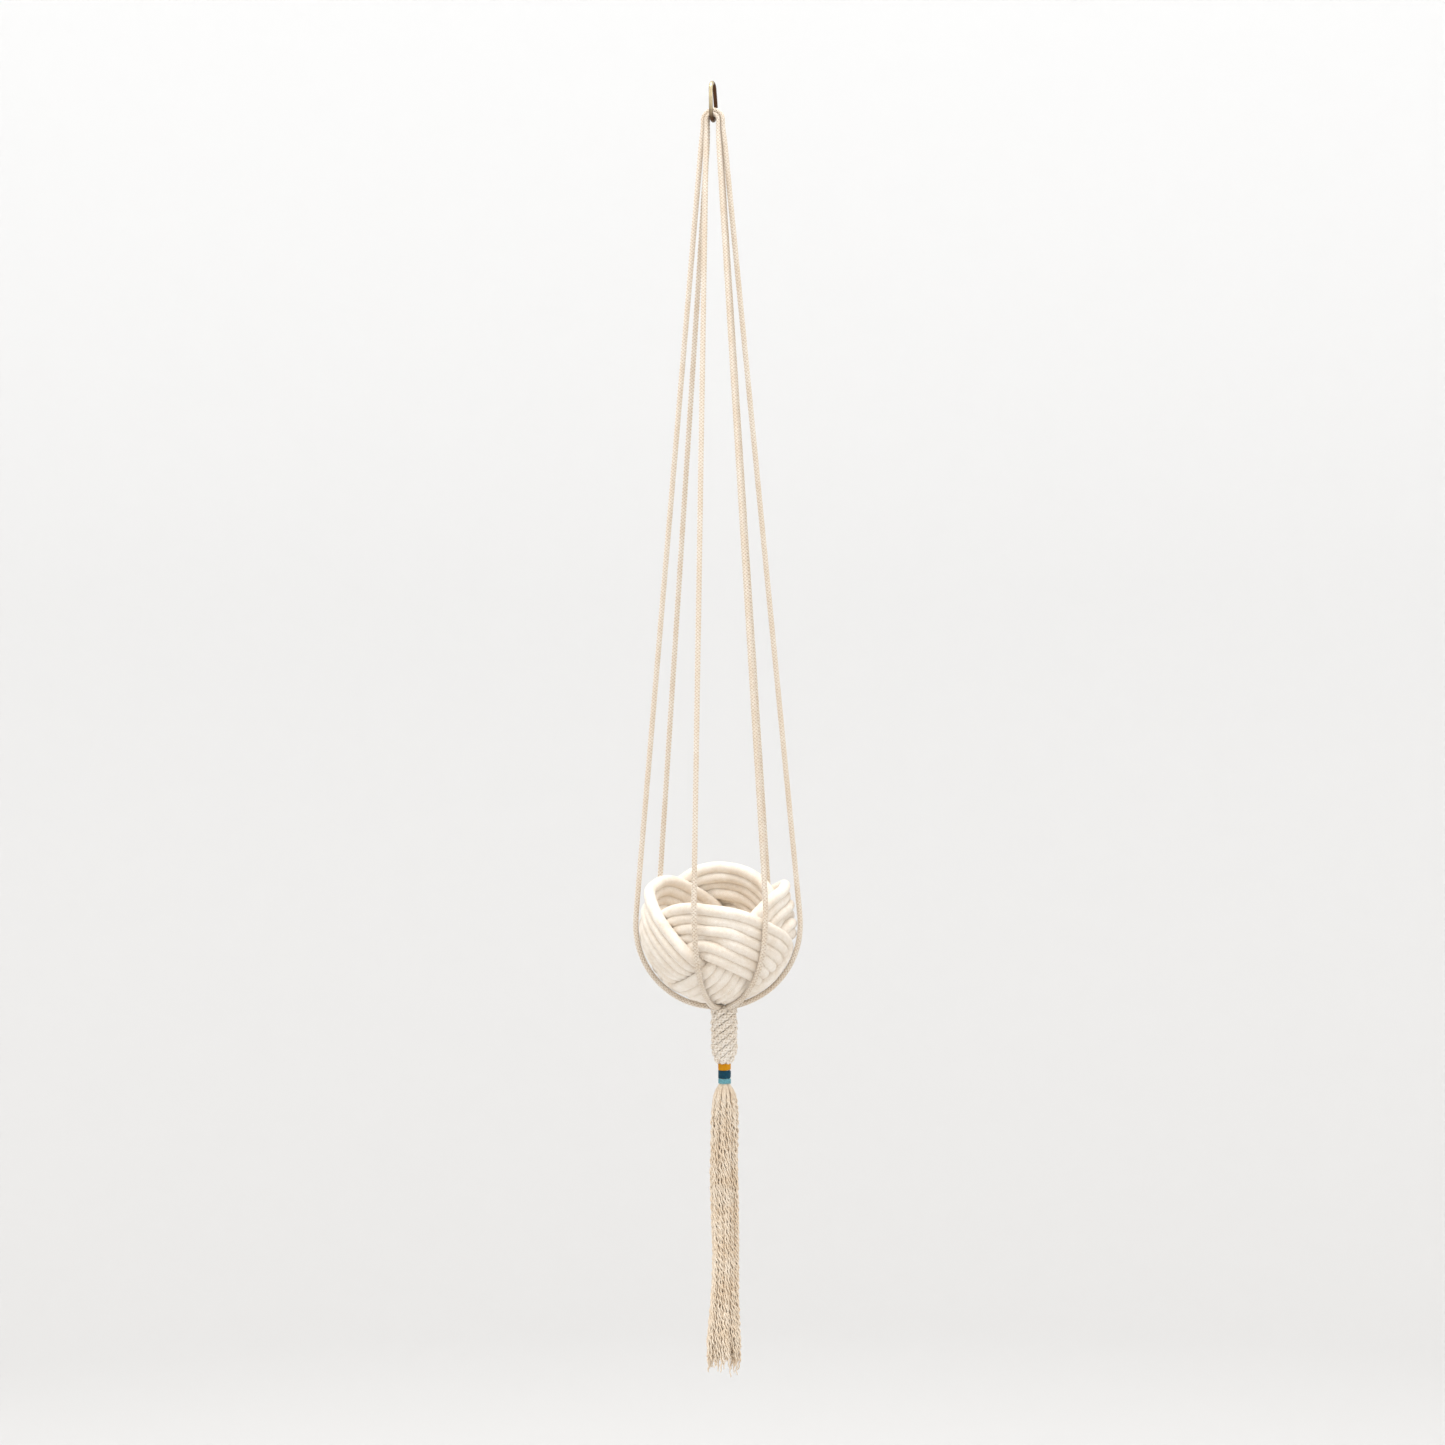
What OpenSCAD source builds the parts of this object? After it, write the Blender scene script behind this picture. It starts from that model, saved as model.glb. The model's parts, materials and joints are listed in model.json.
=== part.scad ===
// A rope bowl hung from a wire hook by six braided legs, with a knotted tail and a tassel below.
// The origin is where the hook hangs: the inside top of its upper loop. +Z is up, -Y is the front.

/* [Hook] */
// Diameter of the hook's wire
hook_wire_d = 4.2; // [3:0.1:5]
// Centreline radius of the hook's upper loop
hook_loop_r = 8; // [7:0.1:10]
// Outside height of the hook
hook_h = 44; // [42:0.5:60]
// How far the hook is turned about the plumb line, in degrees
hook_turn = 15; // [-45:1:45]
// How far the upper tip flares away from the loop, in degrees
hook_flare = 15; // [12:1:25]
// How far the lower loop closes past its back, in degrees
hook_close = 40; // [0:5:60]
// Length of the straight upper tip
hook_tip_l = 18; // [10:0.5:19]

/* [Cords] */
// Diameter of a hanging leg of braided cord
cord_d = 6.2; // [4:0.1:8]
// Diameter of the cord where it is squashed over the hook
bight_d = 5; // [3.5:0.1:6]
// Depth below the hang point at which the folded cords become the legs
fork_depth = 50; // [48:1:70]
// Space left between a folded cord's end and its leg, where they flex
flex_gap = 3; // [2.6:0.1:6]
// Clearance between a leg and the bowl
leg_gap = 2.8; // [0.8:0.1:4]

/* [Rope bowl] */
// Depth of the middle of the bowl's belly below the hang point
bowl_depth = 891; // [500:1:1100]
// Outer radius of the bowl's belly
bowl_r = 81.6; // [72:0.2:95]
// Thickness of the bowl's wall
bowl_wall = 20; // [14:1:22]
// Diameter of the rope
rope_d = 12.2; // [8:0.2:14]
// Radius of the rim, to the rope's middle
rim_r = 69.5; // [66:0.5:76]
// Height of the rim above the middle of the belly
rim_h = 41; // [35:1:60]
// Depth of the flat seat below the middle of the belly
seat_depth = 51; // [40:1:54]
// How far the bowl leans forward, in degrees
bowl_tilt = 16.5; // [0:0.5:20]

/* [Knotted tail] */
// Diameter of the crown sinnet
sinnet_d = 29.5; // [22:0.5:36]
// Length of the crown sinnet
sinnet_l = 53.6; // [45:0.1:90]
// Length of the sinnet's taper into the wraps
taper_l = 9; // [6:0.5:12]
// Diameter of the gathered ends inside the wraps
core_d = 10.4; // [7:0.1:12]
// Outer diameter of the yarn wraps
wrap_d = 13.6; // [13.2:0.1:16]
// Height of the mustard wrap
mustard_h = 7.4; // [3:0.1:20]
// Height of the teal wrap
teal_h = 8.5; // [3:0.1:20]
// Height of the sky-blue wrap
sky_h = 5.8; // [3:0.1:20]
// Space left between the sinnet and the wraps, where the neck flexes
neck_gap = 2; // [2:0.1:5]

/* [Tassel] */
// Length of the tassel below the wraps
tassel_l = 296; // [120:1:400]
// Radius of the tassel along most of its length
tassel_r = 14.5; // [10:0.5:20]
// Radius of the tassel near its loose end
tassel_end_r = 16.5; // [12:0.5:24]

/* [Hidden] */
$fn = 96;

cream = [0.93, 0.89, 0.83];
rope_white = [0.97, 0.97, 0.93];
brass = [0.62, 0.5, 0.3];
tassel_cream = [0.92, 0.86, 0.77];

cord_r = cord_d / 2;
bight_r = bight_d / 2;
rope_r = rope_d / 2;

// The hook lies in a plane of [back, up]: its upper loop, a straight shank at the front and its
// lower loop. Both loops are open at the back.
// Three folded cords lie in a triangle inside the lower loop, and pass over its wire.
hook_wire_r = hook_wire_d / 2;
bight_gap = 0.3;
pack_r = (bight_d + bight_gap) / sqrt(3);
lower_loop_r = pack_r + bight_r + bight_gap + hook_wire_r;
upper_c = [0, hook_wire_r - hook_loop_r];
lower_c = [0, hook_wire_d - hook_h + hook_wire_r + lower_loop_r];
tip_from = upper_c + hook_loop_r * [cos(hook_flare), sin(hook_flare)];
tip_to = tip_from + hook_tip_l * [sin(hook_flare), -cos(hook_flare)];
arc_step = 15;
hook_route = [for (p = concat(
    [tip_to],
    arc_points(upper_c, hook_loop_r, hook_flare, 180),
    arc_points(lower_c, lower_loop_r, 180, 360 + hook_close)
)) [0, p.x, p.y]];

wire_z = lower_c.y - lower_loop_r;
low_bight_r = lower_loop_r - pack_r * sin(30);
high_bight_r = lower_loop_r + pack_r;

// Each leg: its azimuth round the bowl, and where it leaves the fork, across and back from the
// plumb line before the hook's turn
inner_fork = cord_d * [1.07, 0.54];
outer_fork = cord_d * [1.95, 0];
LEGS = [
    [-3, outer_fork],
    [50, inner_fork],
    [138, [-inner_fork.x, inner_fork.y]],
    [182, -outer_fork],
    [254, -inner_fork],
    [304, [inner_fork.x, -inner_fork.y]]
];
bowl_x = -2;
tail_x = 3.5;
bowl_c = [bowl_x, 0, -bowl_depth];
leg_top_z = -fork_depth - flex_gap;
leg_path_r = bowl_r + leg_gap + cord_r;
leg_turns = 9;
leg_low_angle = -75;
crown_ring_r = 1.1 * cord_d;
crown_rise = 0.5;
leg_end_z = -bowl_depth - leg_path_r + crown_rise;

// The tail hangs on its own plumb line, a little to the right of the bowl's
tail_gap = 0.5;
sinnet_r = sinnet_d / 2;
sinnet_top_z = leg_end_z - cord_r - tail_gap;
taper_end_r = core_d / 2 + 0.8;
sinnet_end_z = sinnet_top_z - sinnet_l;
wrap_top_z = sinnet_end_z - neck_gap;
wrap_bore_gap = 0.05;
tassel_top_z = wrap_top_z - mustard_h - teal_h - sky_h - 1.1;
tassel_neck_r = 4.5;
tassel_slit = 0.4;
tassel_angle = 58.5;

function arc_points(centre, r, from, to) =
    let (steps = ceil(abs(to - from) / arc_step))
    [for (i = [0:steps]) let (a = from + i * (to - from) / steps) centre + r * [cos(a), sin(a)]];

function at_azimuth(a, r, z) = bowl_c + [r * cos(a), r * sin(a), z];

// The rim's middle at an azimuth, as [radius from the plumb line, height above the belly's middle]
function rim_reach(a) =
    let (across = rim_r * cos(a), back = rim_r * sin(a) * cos(bowl_tilt) - rim_h * sin(bowl_tilt))
    [norm([across, back]), rim_h * cos(bowl_tilt) + rim_r * sin(a) * sin(bowl_tilt)];

// Radius at a height of a leg that runs straight from the fork to the belly
function free_reach(h) =
    let (lean = asin((leg_path_r - LEGS[0][1].x) / (bowl_depth + leg_top_z)))
    (leg_path_r - h * sin(lean)) / cos(lean);

// A leg passes outside the rim and then lies against the belly down to the crown
function leg_route(k) =
    let (
        a = LEGS[k][0],
        fork = LEGS[k][1],
        rim = rim_reach(a),
        out = max(rim[0] + rope_r + leg_gap + cord_r, free_reach(rim[1])),
        meet = atan2(rim[1], out) - acos(leg_path_r / norm([out, rim[1]])),
        step = (leg_low_angle - meet) / leg_turns
    )
    concat(
        [[
            fork.x * cos(hook_turn) + fork.y * sin(hook_turn),
            fork.y * cos(hook_turn) - fork.x * sin(hook_turn),
            leg_top_z
        ]],
        [at_azimuth(a, out, rim[1])],
        [for (i = [0:leg_turns]) let (e = meet + i * step) at_azimuth(a, leg_path_r * cos(e), leg_path_r * sin(e))],
        [[tail_x + crown_ring_r * cos(60 * k), crown_ring_r * sin(60 * k), leg_end_z]]
    );

function unit(v) = v / norm(v);

// The vector v after the turn that takes direction a to direction b
function carried(v, a, b) =
    let (w = cross(a, b))
    v + cross(w, v) + cross(w, cross(w, v)) / (1 + a * b);

function tangents(path) = [
    for (i = [0:len(path) - 1])
        i == 0 ? unit(path[1] - path[0])
        : i == len(path) - 1 ? unit(path[i] - path[i - 1])
        : unit(unit(path[i] - path[i - 1]) + unit(path[i + 1] - path[i]))
];

function side_vectors(t, i, last) =
    i == len(t) ? []
    : let (now = i == 0 ? last : carried(last, t[i - 1], t[i])) concat([now], side_vectors(t, i + 1, now));

// A round tube swept along a list of points
module tube(path, r, sides = 12) {
    t = tangents(path);
    s = side_vectors(t, 0, unit(cross(t[0], [0.6, 0.8, 0])));
    points = [
        for (i = [0:len(path) - 1], k = [0:sides - 1])
            path[i] + r * (cos(360 * k / sides) * s[i] + sin(360 * k / sides) * cross(t[i], s[i]))
    ];
    walls = [
        for (i = [0:len(path) - 2], k = [0:sides - 1])
            let (a = i * sides + k, b = i * sides + (k + 1) % sides) [b, a, a + sides, b + sides]
    ];
    first = [for (k = [0:sides - 1]) k];
    last = [for (k = [sides - 1:-1:0]) (len(path) - 1) * sides + k];
    polyhedron(points, concat(walls, [first], [last]), convexity = 4);
}

// A wire or cord bent round an arc, in the plane of X and Y
module bend(centre, r, from, to, d) {
    translate(centre) rotate([0, 0, from]) rotate_extrude(angle = to - from)
        translate([r, 0]) circle(d = d);
}

module rod(from, to, d) {
    run = to - from;
    translate(from) rotate([0, 0, atan2(run.y, run.x)]) rotate([0, 90, 0])
        cylinder(h = norm(run), d = d);
}

module wire_hook() {
    color(brass) rotate([0, 0, -hook_turn]) tube(hook_route, hook_wire_r, 16);
}

// One cord folded over the hook's lower loop
module bight(back, r) {
    color(cream) rotate([0, 0, -hook_turn]) translate([0, back, 0]) rotate([90, 0, 0]) union() {
        bend([0, wire_z], r, 0, 180, bight_d);
        for (side = [-1, 1]) rod([side * r, wire_z], [side * r, -fork_depth], bight_d);
    }
}

module cord_front() { bight(-pack_r * cos(30), low_bight_r); }
module cord_back() { bight(pack_r * cos(30), low_bight_r); }
module cord_side() { bight(0, high_bight_r); }

module leg(k) { color(cream) tube(leg_route(k), cord_r); }
module leg_right() { leg(0); }
module leg_back_right() { leg(1); }
module leg_back_left() { leg(2); }
module leg_left() { leg(3); }
module leg_front_left() { leg(4); }
module leg_front_right() { leg(5); }

// A round bowl with a thick rope rim and a flat seat inside
module rope_bowl() {
    inner_r = bowl_r - bowl_wall;
    color(rope_white) translate(bowl_c) rotate([bowl_tilt, 0, 0]) union() {
        difference() {
            union() {
                sphere(r = bowl_r);
                cylinder(h = rim_h, r1 = bowl_r, r2 = rim_r + rope_r);
            }
            translate([0, 0, rim_h]) cylinder(h = bowl_r, r = bowl_r);
            cylinder(h = rim_h, r1 = inner_r, r2 = rim_r - rope_r);
            intersection() {
                sphere(r = inner_r);
                translate([0, 0, -seat_depth]) cylinder(h = seat_depth, r = bowl_r);
            }
        }
        translate([0, 0, rim_h]) rotate_extrude() translate([rim_r, 0]) circle(r = rope_r);
    }
}

// The sinnet's rounded crown lets it swing under the legs
module crown_sinnet() {
    color(cream) translate([tail_x, 0, 0]) union() {
        translate([0, 0, sinnet_top_z - sinnet_r]) sphere(r = sinnet_r);
        translate([0, 0, sinnet_end_z + taper_l])
            cylinder(h = sinnet_l - taper_l - sinnet_r, r = sinnet_r);
        translate([0, 0, sinnet_end_z]) cylinder(h = taper_l, r1 = taper_end_r, r2 = sinnet_r);
    }
}

module tassel_core() {
    core_h = mustard_h + teal_h + sky_h;
    color(tassel_cream) translate([tail_x, 0, wrap_top_z - core_h]) cylinder(h = core_h, d = core_d);
}

// A band of yarn wound round the gathered ends
module wrap(above, h) {
    translate([tail_x, 0, wrap_top_z - above - h]) difference() {
        cylinder(h = h, d = wrap_d);
        translate([0, 0, -1]) cylinder(h = h + 2, r = core_d / 2 + wrap_bore_gap);
    }
}

module wrap_mustard() { color([0.84, 0.58, 0.12]) wrap(0, mustard_h); }
module wrap_teal() { color([0.09, 0.31, 0.41]) wrap(mustard_h, teal_h); }
module wrap_sky() { color([0.49, 0.71, 0.77]) wrap(mustard_h + teal_h, sky_h); }

// One sixth of the tassel: the loose yarns of one cord end
module tassel_bundle(k) {
    shoulder = 26;
    flare_from = 0.65 * tassel_l;
    color(tassel_cream) translate([tail_x, 0, tassel_top_z]) rotate([0, 0, 60 * k - tassel_angle / 2])
        translate([tassel_slit * cos(tassel_angle / 2), tassel_slit * sin(tassel_angle / 2), 0])
        rotate_extrude(angle = tassel_angle) polygon([
            [tassel_slit, 0],
            [tassel_neck_r, 0],
            [tassel_r - 1.5, -shoulder],
            [tassel_r, -2.5 * shoulder],
            [tassel_r, -flare_from],
            [tassel_end_r, -tassel_l],
            [tassel_slit, -tassel_l]
        ]);
}

module tassel_1() { tassel_bundle(0); }
module tassel_2() { tassel_bundle(1); }
module tassel_3() { tassel_bundle(2); }
module tassel_4() { tassel_bundle(3); }
module tassel_5() { tassel_bundle(4); }
module tassel_6() { tassel_bundle(5); }

wire_hook();
cord_front();
cord_back();
cord_side();
leg_right();
leg_back_right();
leg_back_left();
leg_left();
leg_front_left();
leg_front_right();
rope_bowl();
crown_sinnet();
tassel_core();
wrap_mustard();
wrap_teal();
wrap_sky();
tassel_1();
tassel_2();
tassel_3();
tassel_4();
tassel_5();
tassel_6();
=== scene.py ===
# %% [markdown]
# # A hanging planter, knotted and braided from cotton
#
# The planter is a bowl knotted from thick rope. It hangs in a sling of six braided
# legs, which are three cords folded over the lower loop of a brass hook. Under
# the bowl the legs are worked into a round crown sinnet, bound with three bands of
# coloured yarn, and left loose as a long tassel.
#
# Almost every piece is something round that follows a line, so the lesson turns on
# one idea: work out the line that the rope, cord or yarn really takes, and then
# give it a skin. The frame supplies the bodies, the joints and every main size.

import json
import math

import bpy
import numpy as np
from mathutils import Matrix, Vector


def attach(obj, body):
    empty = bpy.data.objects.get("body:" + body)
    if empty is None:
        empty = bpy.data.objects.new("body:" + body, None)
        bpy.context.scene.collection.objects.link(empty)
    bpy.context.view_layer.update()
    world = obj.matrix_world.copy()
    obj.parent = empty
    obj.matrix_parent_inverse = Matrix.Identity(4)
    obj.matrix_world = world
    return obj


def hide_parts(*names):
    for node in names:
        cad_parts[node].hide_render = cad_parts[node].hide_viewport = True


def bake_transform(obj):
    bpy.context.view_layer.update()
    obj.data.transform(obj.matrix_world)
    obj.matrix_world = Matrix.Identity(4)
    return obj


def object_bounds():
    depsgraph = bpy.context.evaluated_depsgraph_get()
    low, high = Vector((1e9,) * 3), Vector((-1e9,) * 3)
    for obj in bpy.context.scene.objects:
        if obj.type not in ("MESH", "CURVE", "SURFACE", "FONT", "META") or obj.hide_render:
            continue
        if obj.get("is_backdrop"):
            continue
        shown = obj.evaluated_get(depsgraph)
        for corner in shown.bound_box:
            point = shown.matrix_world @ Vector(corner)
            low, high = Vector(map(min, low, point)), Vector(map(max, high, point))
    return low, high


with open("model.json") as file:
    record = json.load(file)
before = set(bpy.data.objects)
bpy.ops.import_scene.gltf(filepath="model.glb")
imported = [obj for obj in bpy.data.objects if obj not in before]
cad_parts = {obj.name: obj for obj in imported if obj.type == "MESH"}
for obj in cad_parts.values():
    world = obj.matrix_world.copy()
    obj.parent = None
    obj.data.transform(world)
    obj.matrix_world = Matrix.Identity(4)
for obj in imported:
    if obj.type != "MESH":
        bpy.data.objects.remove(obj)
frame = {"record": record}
cad_lo, cad_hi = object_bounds()
joints = {j["name"]: j for j in frame["record"]["behaviour"]["joints"]}
print("frame box", [round(x, 4) for x in (*cad_lo, *cad_hi)])

# %% [markdown]
# ## The camera
#
# The planter is a metre and a third long and is looked at from a few metres away,
# level with its middle, so the hook is seen a little from below and the bowl a
# little from above. A long lens keeps that slope gentle. The camera leans by half a
# degree, because the planter was not hung quite in line with the frame of the view.

# %% Place the camera
VIEW_DISTANCE = 3.5
VIEW_WIDTH = 1.532
SENSOR = 36.0

camera_data = bpy.data.cameras.new("camera")
camera_data.sensor_width = SENSOR
camera_data.lens = SENSOR * VIEW_DISTANCE / VIEW_WIDTH
camera = bpy.data.objects.new("camera", camera_data)
bpy.context.scene.collection.objects.link(camera)
lean = Matrix.Rotation(math.radians(-0.5), 4, "Z")
level = Matrix.Rotation(math.radians(90), 4, "X")
camera.matrix_world = Matrix.Translation((0.0046, -VIEW_DISTANCE, -0.6761)) @ level @ lean
bpy.context.scene.camera = camera
bpy.context.scene.view_settings.view_transform = "Standard"
print("lens", round(camera_data.lens, 2), "mm")

# %% [markdown]
# ## Tools for things that follow a line
#
# A rope, a cord and a yarn are all a ring carried along a path. If each new ring is
# turned by the smallest turn that takes the old direction to the new one, the skin
# never twists by itself. That is called parallel transport, and it is what a braid
# needs: its own twist is then the only one there is.
#
# Each skin also gets two layouts. "thread" holds the metres along the line and the
# share of a turn round it, so a finish can draw its twist or braid at the right
# size. "OFBake" cuts the skin into short lengths and lays them in rows, so that the
# finish can be saved as a picture without stretching.


# %% Follow a line
def unit(v):
    return v / np.linalg.norm(v, axis=-1, keepdims=True)


def spaced(path, step, closed=False):
    """Points a step apart along a path, and the path's length."""
    points = np.vstack([path, path[:1]]) if closed else np.asarray(path, float)
    runs = np.linalg.norm(np.diff(points, axis=0), axis=1)
    along = np.r_[0, np.cumsum(runs)]
    count = max(4, round(along[-1] / step)) + (0 if closed else 1)
    wanted = np.linspace(0, along[-1], count, endpoint=not closed)
    return np.stack([np.interp(wanted, along, points[:, i]) for i in range(3)], 1), along[-1]


def directions(points, closed=False):
    if closed:
        return unit(np.roll(points, -1, 0) - np.roll(points, 1, 0))
    return unit(np.gradient(points, axis=0))


def side_vectors(points, closed=False):
    """A direction, a side and a second side at each point, with no twist of their own."""
    way = directions(points, closed)
    side = np.zeros_like(points)
    first = np.cross(way[0], [0.6, 0.8, 0.1])
    side[0] = first / np.linalg.norm(first)
    for i in range(1, len(points)):
        turned = side[i - 1] - way[i] * (side[i - 1] @ way[i])
        side[i] = turned / np.linalg.norm(turned)
    if closed:
        other = np.cross(way[0], side[0])
        back = side[-1] - way[0] * (side[-1] @ way[0])
        slip = math.atan2(back @ other, back @ side[0])
        share = np.linspace(0, slip, len(points), endpoint=False)[:, None]
        side = side * np.cos(share) - np.cross(way, side) * np.sin(share)
    return way, side, np.cross(way, side)


line = np.array([[0, 0, 0], [0.01, 0, 0], [0.01, 0.01, 0]])
print("points on a 20 mm line", len(spaced(line, 0.002)[0]))


# %% Give a line its skin
def rings(points, across, out, sides):
    """Rings of points: across and out are the half axes of each ring, in metres."""
    turn = np.arange(sides) / sides * 2 * math.pi
    return (
        points[:, None]
        + np.cos(turn)[None, :, None] * across[:, None]
        + np.sin(turn)[None, :, None] * out[:, None]
    )


def round_tube(points, radius, sides, closed=False):
    side, other = side_vectors(points, closed)[1:]
    size = np.broadcast_to(np.asarray(radius, float), (len(points),))[:, None]
    return rings(points, side * size, other * size, sides)


def skin(name, tubes, closed=False):
    """One mesh from several tubes of rings, with both layouts."""
    spots, faces, flat, cells, first, order = [], [], [], [], 0, 0
    sides = tubes[0].shape[1]
    for tube in tubes:
        n = len(tube)
        here = np.arange(n if closed else n - 1)
        after = (here + 1) % n
        k = np.arange(sides)
        nxt = (k + 1) % sides
        a = first + here[:, None] * sides
        b = first + after[:, None] * sides
        faces.append(np.stack([a + k, a + nxt, b + nxt, b + k], 2).reshape(-1, 4))
        middle = tube.mean(1)
        runs = np.linalg.norm(np.diff(np.vstack([middle, middle[:1]]), axis=0), axis=1)
        along = np.r_[0, np.cumsum(runs)]
        low = np.broadcast_to(along[here][:, None], (len(here), sides))
        high = np.broadcast_to(along[here + 1][:, None], (len(here), sides))
        v0 = np.broadcast_to(k / sides, (len(here), sides))
        v1 = v0 + 1 / sides
        corner = [np.stack(p, 2) for p in ((low, v0), (low, v1), (high, v1), (high, v0))]
        flat.append(np.stack(corner, 2).reshape(-1, 4, 2))
        number = np.broadcast_to((order + here)[:, None], (len(here), sides))
        cells.append(np.stack([number, np.broadcast_to(k, number.shape)], 2).reshape(-1, 2))
        spots.append(tube.reshape(-1, 3))
        first += n * sides
        order += len(here)
    spots, faces, flat = np.vstack(spots), np.vstack(faces), np.vstack(flat)
    rows_map = rows_layout(np.vstack(cells), sides, order, tubes[0])
    mesh = bpy.data.meshes.new(name)
    mesh.vertices.add(len(spots))
    mesh.vertices.foreach_set("co", spots.astype(np.float32).ravel())
    mesh.loops.add(faces.size)
    mesh.loops.foreach_set("vertex_index", faces.astype(np.int32).ravel())
    mesh.polygons.add(len(faces))
    mesh.polygons.foreach_set("loop_start", np.arange(len(faces), dtype=np.int32) * 4)
    mesh.update(calc_edges=True)
    mesh.uv_layers.new(name="thread").uv.foreach_set("vector", flat.astype(np.float32).ravel())
    mesh.uv_layers.new(name="OFBake").uv.foreach_set("vector", rows_map.astype(np.float32).ravel())
    mesh.shade_smooth()
    piece = bpy.data.objects.new(name, mesh)
    bpy.context.scene.collection.objects.link(piece)
    return piece


def rows_layout(numbers, sides, total, tube):
    """Lays every short length of skin in rows that fill the unit square."""
    girth = np.linalg.norm(np.diff(tube[len(tube) // 2], axis=0), axis=1).mean() * sides
    length = np.linalg.norm(tube[1].mean(0) - tube[0].mean(0))
    in_row = math.ceil(math.sqrt(total * 1.1 * girth / max(length, 1e-6)))
    rows = math.ceil(total / in_row)
    column, row = numbers[:, 0] % in_row, numbers[:, 0] // in_row
    u0, u1 = column / in_row, (column + 1) / in_row
    v0 = (row + 0.04 + 0.92 * numbers[:, 1] / sides) / rows
    v1 = v0 + 0.92 / sides / rows
    return np.stack([np.stack(p, 1) for p in ((u0, v0), (u0, v1), (u1, v1), (u1, v0))], 1)


# %% Close the ends
def closed_ends(tube, reach=0.5, steps=3):
    """The same tube with its ends drawn in to a soft point."""
    start, end = tube[0].mean(0), tube[-1].mean(0)
    back, on = start - tube[1].mean(0), end - tube[-2].mean(0)
    back, on = back / np.linalg.norm(back), on / np.linalg.norm(on)
    size = np.linalg.norm(tube[0] - start, axis=1).max()
    size_on = np.linalg.norm(tube[-1] - end, axis=1).max()
    heads, tails = [], []
    for i in range(1, steps + 1):
        turn = i / steps * math.pi / 2
        narrow = max(math.cos(turn), 0.02)
        heads.append(start + back * size * reach * math.sin(turn) + (tube[0] - start) * narrow)
        tails.append(end + on * size_on * reach * math.sin(turn) + (tube[-1] - end) * narrow)
    return np.concatenate([np.array(heads[::-1]), tube, np.array(tails)])


def smooth_line(waypoints, step):
    """A smooth line through the waypoints, as evenly spaced points."""
    p = np.asarray(waypoints, float)
    p = np.vstack([2 * p[0] - p[1], p, 2 * p[-1] - p[-2]])
    t = np.linspace(0, 1, 24, endpoint=False)[:, None]
    found = []
    for a, b, c, d in zip(p[:-3], p[1:-2], p[2:-1], p[3:]):
        bend = (2 * a - 5 * b + 4 * c - d) * t**2 + (3 * b - a - 3 * c + d) * t**3
        found.append(b + 0.5 * ((c - a) * t + bend))
    return spaced(np.vstack([*found, p[-2:-1]]), step)[0]


def upright(angle, radius, z, centre=(0.0, 0.0)):
    """A point on a level circle round an upright line."""
    return [centre[0] + radius * math.cos(angle), centre[1] + radius * math.sin(angle), z]


print("tools ready")

# %% [markdown]
# ## The braided legs
#
# Each leg is 6 mm braided cotton: eight thick strands, four winding one way and four
# the other, each passing over and under the ones it meets. A picture of a braid on
# a plain tube looks flat as soon as light grazes it, so the strands are real here.
# Four turn left and four turn right with the same lay, and their distance from the
# middle swings in opposite step, which is all that weaving is.
#
# Three such cords make the six legs. Each runs up from under the bowl, over the
# hook's lower loop and down again. The legs hang straight to the rim, lie against
# the belly, and meet under the bowl. The weight pulls them taut and squashes them a
# little where they pass over the wire.

# %% Sizes of the sling
CORD_R = 0.0031
LAY = 0.015
HOOK_TURN = math.radians(15)
WIRE_Z = joints["swing_sideways"]["pos_m"][2]
FORK_Z = -0.053
BOWL = np.array(joints["bowl_turn"]["pos_m"])
BOWL_TILT = math.acos(joints["bowl_turn"]["axis"][2])
TAIL_X = joints["tail_swing"]["pos_m"][0]
RIM_R = 0.0695
RIM_H = 0.041
ROPE_R = 0.0061
LEG_REACH = 0.0875
LEG_GAP = 0.0028
LEG_END_Z = -0.978
CROWN_R = 0.00682
BELLY_END = math.radians(-75)
INNER_FORK = (0.006634, 0.003348)
OUTER_FORK = (0.01209, 0.0)
INNER_FOLD_R = 0.00643
OUTER_FOLD_R = 0.01102
FOLD_APART = 0.00265
FOLD_FOOT_Z = -0.0465
print("bowl centre", BOWL, "tilt", round(math.degrees(BOWL_TILT), 2), "degrees")


# %% The line of a leg
def hook_turned(x, y):
    """A point beside the hook, turned with it."""
    c, s = math.cos(HOOK_TURN), math.sin(HOOK_TURN)
    return x * c + y * s, y * c - x * s


def round_bowl(azimuth, radius, z):
    return [BOWL[0] + radius * math.cos(azimuth), radius * math.sin(azimuth), BOWL[2] + z]


def leg_line(number, degrees, fork):
    """From the fork down over the rim and belly to the crown under the bowl."""
    a = math.radians(degrees)
    c, s = math.cos(BOWL_TILT), math.sin(BOWL_TILT)
    rim_out = math.hypot(RIM_R * math.cos(a), RIM_R * math.sin(a) * c - RIM_H * s)
    rim_z = RIM_H * c + RIM_R * math.sin(a) * s
    slope = math.asin((LEG_REACH - OUTER_FORK[0]) / (FORK_Z - BOWL[2]))
    free = (LEG_REACH - rim_z * math.sin(slope)) / math.cos(slope)
    out = max(rim_out + ROPE_R + LEG_GAP + CORD_R, free)
    meet = math.atan2(rim_z, out) - math.acos(LEG_REACH / math.hypot(out, rim_z))
    belly = np.linspace(meet, BELLY_END, 40)
    crown = math.radians(60 * number)
    return np.array(
        [[*hook_turned(*fork), FORK_Z], round_bowl(a, out, rim_z)]
        + [round_bowl(a, LEG_REACH * math.cos(e), LEG_REACH * math.sin(e)) for e in belly]
        + [upright(crown, CROWN_R, LEG_END_Z, (TAIL_X, 0))]
    )


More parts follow.
